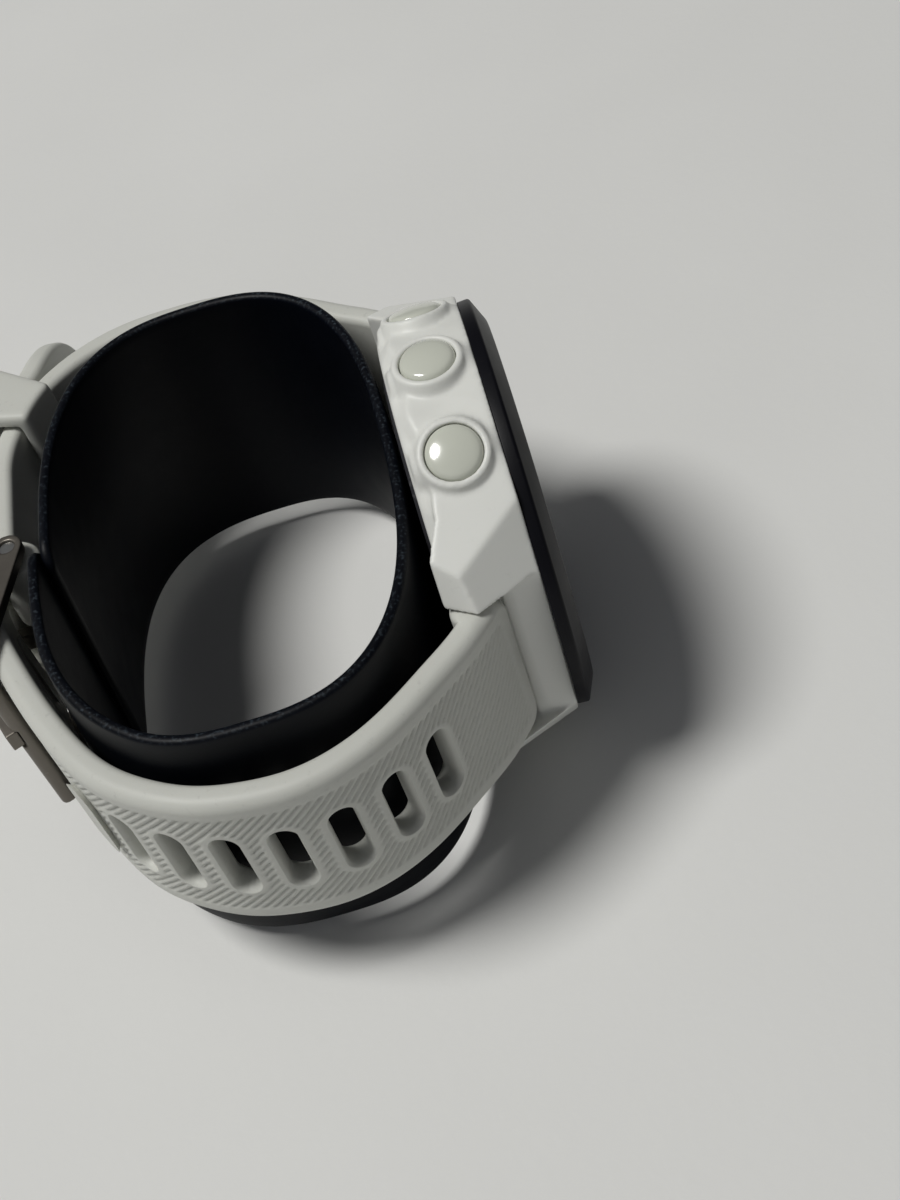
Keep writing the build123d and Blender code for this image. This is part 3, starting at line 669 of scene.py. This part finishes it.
def paint_rim_highlight(mat, low, high, color):
    """Pale specks where Z, in millimetres, is between low and high: painted highlight standing in
    for glints on the rim, meant also as scuffs.
    """
    tree = mat.node_tree
    new, link = tree.nodes.new, tree.links.new
    bsdf = tree.nodes["Principled BSDF"]
    place = new("ShaderNodeTexCoord")
    split = new("ShaderNodeSeparateXYZ")
    link(place.outputs["Object"], split.inputs[0])
    rim = new("ShaderNodeMapRange")
    rim.inputs["From Min"].default_value = low * MM
    rim.inputs["From Max"].default_value = high * MM
    link(split.outputs["Z"], rim.inputs["Value"])
    specks = new("ShaderNodeTexNoise")
    specks.inputs["Scale"].default_value = 2600
    specks.inputs["Detail"].default_value = 6
    link(place.outputs["Object"], specks.inputs["Vector"])
    level = new("ShaderNodeMapRange")
    level.inputs["From Min"].default_value = 0.53
    level.inputs["From Max"].default_value = 0.72
    link(specks.outputs["Fac"], level.inputs["Value"])
    both = new("ShaderNodeMath")
    both.operation = "MULTIPLY"
    link(rim.outputs["Result"], both.inputs[0])
    link(level.outputs["Result"], both.inputs[1])
    mix = new("ShaderNodeMix")
    mix.data_type = "RGBA"
    link(both.outputs[0], mix.inputs["Factor"])
    link(bsdf.inputs["Base Color"].links[0].from_socket, mix.inputs[6])
    mix.inputs[7].default_value = (*color, 1)
    link(mix.outputs[2], bsdf.inputs["Base Color"])


# Pale specks on the cuff's top rim: painted highlight for the rim's glints, meant also as scuffs.
paint_rim_highlight(SHEET, 15.1, 15.5, (0.035, 0.045, 0.055))


def glass(name, tint, rough=0.02):
    """Clear material whose smoothness drifts a little."""
    mat = bpy.data.materials.new(name)
    mat.use_nodes = True
    tree = mat.node_tree
    bsdf = tree.nodes["Principled BSDF"]
    noise = tree.nodes.new("ShaderNodeTexNoise")
    noise.inputs["Scale"].default_value = 260
    level = tree.nodes.new("ShaderNodeMapRange")
    level.inputs["To Min"].default_value = rough
    level.inputs["To Max"].default_value = rough + 0.05
    place = tree.nodes.new("ShaderNodeTexCoord")
    tree.links.new(place.outputs["Object"], noise.inputs["Vector"])
    tree.links.new(noise.outputs["Fac"], level.inputs["Value"])
    tree.links.new(level.outputs["Result"], bsdf.inputs["Roughness"])
    bsdf.inputs["Base Color"].default_value = (*tint, 1)
    bsdf.inputs["Transmission Weight"].default_value = 1
    bsdf.inputs["IOR"].default_value = 1.45
    bsdf.inputs["Coat Weight"].default_value = 0.3
    return mat


def dial_screen():
    """Switched-off display: dark, with a printed minute track."""
    mat = material("screen", (0.012, 0.014, 0.016), 0.22, shift=0.15, coat=0.5)
    tree = mat.node_tree
    new, link = tree.nodes.new, tree.links.new
    bsdf = tree.nodes["Principled BSDF"]

    def calc(kind, a, b=None):
        node = new("ShaderNodeMath")
        node.operation = kind
        for value, socket in zip((a, b), node.inputs):
            if value is None:
                continue
            if isinstance(value, (int, float)):
                socket.default_value = value
            else:
                link(value, socket)
        return node.outputs[0]

    place = new("ShaderNodeTexCoord")
    split = new("ShaderNodeSeparateXYZ")
    link(place.outputs["Object"], split.inputs[0])
    y, z = split.outputs["Y"], split.outputs["Z"]
    radius = calc("SQRT", calc("ADD", calc("MULTIPLY", y, y), calc("MULTIPLY", z, z)))
    turn = calc("DIVIDE", calc("ARCTAN2", z, y), 2 * math.pi)

    def ticks(count, half_width, inner, outer):
        part = calc("SUBTRACT", calc("FRACT", calc("ADD", calc("MULTIPLY", turn, count), 0.5)), 0.5)
        step_length = calc("MULTIPLY", radius, 2 * math.pi / count)
        arc_length = calc("MULTIPLY", calc("ABSOLUTE", part), step_length)
        near = calc("LESS_THAN", arc_length, half_width * MM)
        band_in = calc("GREATER_THAN", radius, inner * MM)
        band_out = calc("LESS_THAN", radius, outer * MM)
        return calc("MULTIPLY", near, calc("MULTIPLY", band_in, band_out))

    mark = calc("MAXIMUM", ticks(60, 0.08, 17.0, 17.7), ticks(12, 0.22, 15.9, 17.7))
    old = bsdf.inputs["Base Color"].links[0].from_socket
    mix = new("ShaderNodeMix")
    mix.data_type = "RGBA"
    link(mark, mix.inputs["Factor"])
    link(old, mix.inputs[6])
    mix.inputs[7].default_value = (0.5, 0.5, 0.48, 1)
    link(mix.outputs[2], bsdf.inputs["Base Color"])
    return mat


STEEL = material("steel", (0.5, 0.5, 0.49), 0.3, metal=1, grain=0.004, grain_scale=1800,
                 stretch=(1, 1, 6))
finishes = {
    "lens_glass": glass("clear_glass", (0.93, 0.95, 0.96)),
    "sensor_window": glass("window_glass", (0.02, 0.02, 0.025), 0.04),
    "display_module": dial_screen(),
    "lens_gasket": material("rubber_seal", (0.02, 0.02, 0.02), 0.7, grain=0.01),
    "display_flex": material("ribbon", (0.42, 0.2, 0.03), 0.35, coat=0.3),
    "mid_frame": material("carrier_plastic", (0.05, 0.05, 0.055), 0.55, grain=0.02),
    "gps_antenna": material("antenna_metal", (0.62, 0.58, 0.48), 0.3, metal=1, grain=0.004),
    "main_board": material("board_green", (0.01, 0.12, 0.05), 0.35, shift=0.35, shift_scale=500,
                           coat=0.3),
    "board_chips": material("chip_metal", (0.4, 0.41, 0.42), 0.35, metal=0.8, shift=0.15,
                            grain=0.01),
    "battery": material("battery_foil", (0.45, 0.46, 0.48), 0.3, metal=0.6, grain=0.02,
                        grain_scale=900),
    "vibration_motor": material("motor_steel", (0.5, 0.5, 0.5), 0.3, metal=1, grain=0.004),
    "back_cover": material("cover_black", (0.022, 0.022, 0.026), 0.5, shift=0.15, grain=0.02,
                           grain_scale=4500, dust=0.08),
    "charge_contacts": material("gold", (0.8, 0.55, 0.2), 0.2, metal=1, shift=0.08),
}
finishes["back_gasket"] = finishes["button_seals"] = finishes["lens_gasket"]
finishes["optical_sensor_board"] = finishes["main_board"]
finishes["contact_block"] = finishes["mid_frame"]
finishes["button_switches"] = finishes["board_chips"]
for name, node in nodes.items():
    if node.hide_render:
        continue
    node.data.materials.clear()
    node.data.materials.append(finishes.get(name, STEEL))
    shade(node, 30)


# ---- Floor, light and camera ------------------------------------------------------------

FLOOR = material("paper_floor", (0.72, 0.72, 0.705), 0.75, shift=0.02, shift_scale=14,
                 grain=0.03, grain_scale=700)
floor_z = cad_box[0][2] / MM - 0.05
corners = ((-1500, -1500), (1500, -1500), (1500, 2500), (-1500, 2500))
floor = add_mesh("floor", [(x, y, floor_z) for x, y in corners], [(0, 1, 2, 3)], FLOOR)


def area_light(name, spot, target, size, power, color):
    """Round soft light; places and size in metres, power in watts."""
    lamp = bpy.data.lights.new(name, "AREA")
    lamp.shape = "DISK"
    lamp.size = size
    lamp.energy = power
    lamp.color = color
    obj = bpy.data.objects.new(name, lamp)
    bpy.context.scene.collection.objects.link(obj)
    obj.location = spot
    obj.rotation_euler = (Vector(target) - Vector(spot)).to_track_quat("-Z", "Y").to_euler()


area_light("key", (-0.95, -0.02, 2.15), (0, 0, 0), 0.8, 43, (1.0, 0.995, 0.97))
area_light("fill", (-0.5, -1.1, 0.8), (0, 0, 0), 1.2, 0.9, (0.96, 0.98, 1.0))
world = bpy.data.worlds.new("studio")
world.use_nodes = True
world.node_tree.nodes["Background"].inputs["Color"].default_value = (0.93, 0.95, 1.0, 1)
world.node_tree.nodes["Background"].inputs["Strength"].default_value = 0.085
bpy.context.scene.world = world
bpy.context.scene.view_settings.view_transform = "Standard"

azimuth, elevation, roll = (math.radians(a) for a in (3.84, 48.33, -19.75))
back = Vector((math.sin(azimuth) * math.cos(elevation), -math.cos(azimuth) * math.cos(elevation),
               math.sin(elevation)))
level = Vector((0, 0, 1)).cross(back).normalized()
upright = back.cross(level)
right = level * math.cos(roll) + upright * math.sin(roll)
up = upright * math.cos(roll) - level * math.sin(roll)
camera_data = bpy.data.cameras.new("camera")
camera_data.lens = 51.37
camera_data.sensor_width = 36
camera_data.clip_start = 0.005
camera = bpy.data.objects.new("camera", camera_data)
bpy.context.scene.collection.objects.link(camera)
turned = Matrix((right, up, back)).transposed()
camera_spot = Vector((7.90, -134.46, 139.16)) * MM
camera.matrix_world = Matrix.Translation(camera_spot) @ turned.to_4x4()
bpy.context.scene.camera = camera
